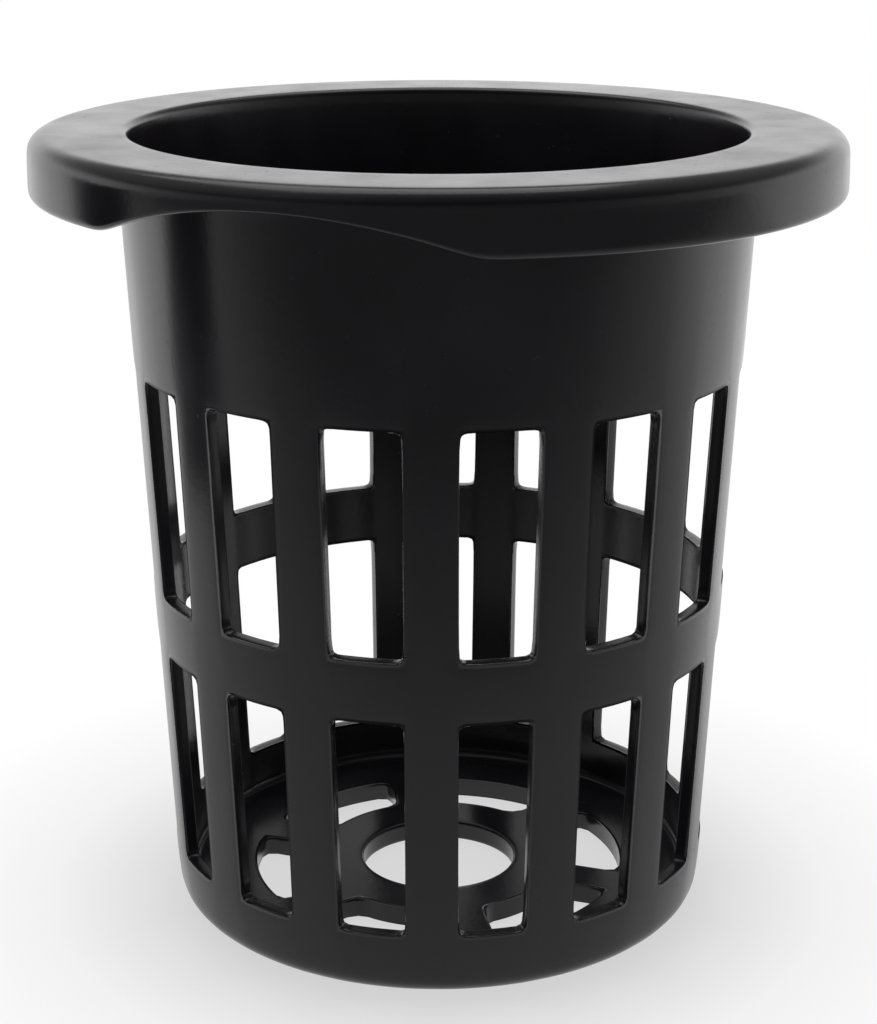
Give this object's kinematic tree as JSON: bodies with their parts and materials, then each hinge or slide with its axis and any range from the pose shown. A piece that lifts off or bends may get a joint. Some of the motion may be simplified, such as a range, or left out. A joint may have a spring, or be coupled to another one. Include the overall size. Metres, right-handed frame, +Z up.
{
  "type": "hydroponic net pot",
  "caption": "Tapered plastic net pot with a skirted hanging rim, windowed wall and slotted floor, for holding a plant and its growing medium in a hydroponic tray.",
  "frame": {"origin": "centre of the underside of the floor, which is what the pot stands on", "axes": "+Z up along the pot's axis, -Y to the front, where one column of windows is centred"},
  "size_m": [0.0576, 0.0576, 0.058],
  "materials": {
    "net_pot": "satin black moulded polypropylene"
  },
  "bodies": {
    "root": {"net_pot": "net_pot"}
  },
  "joints": []
}
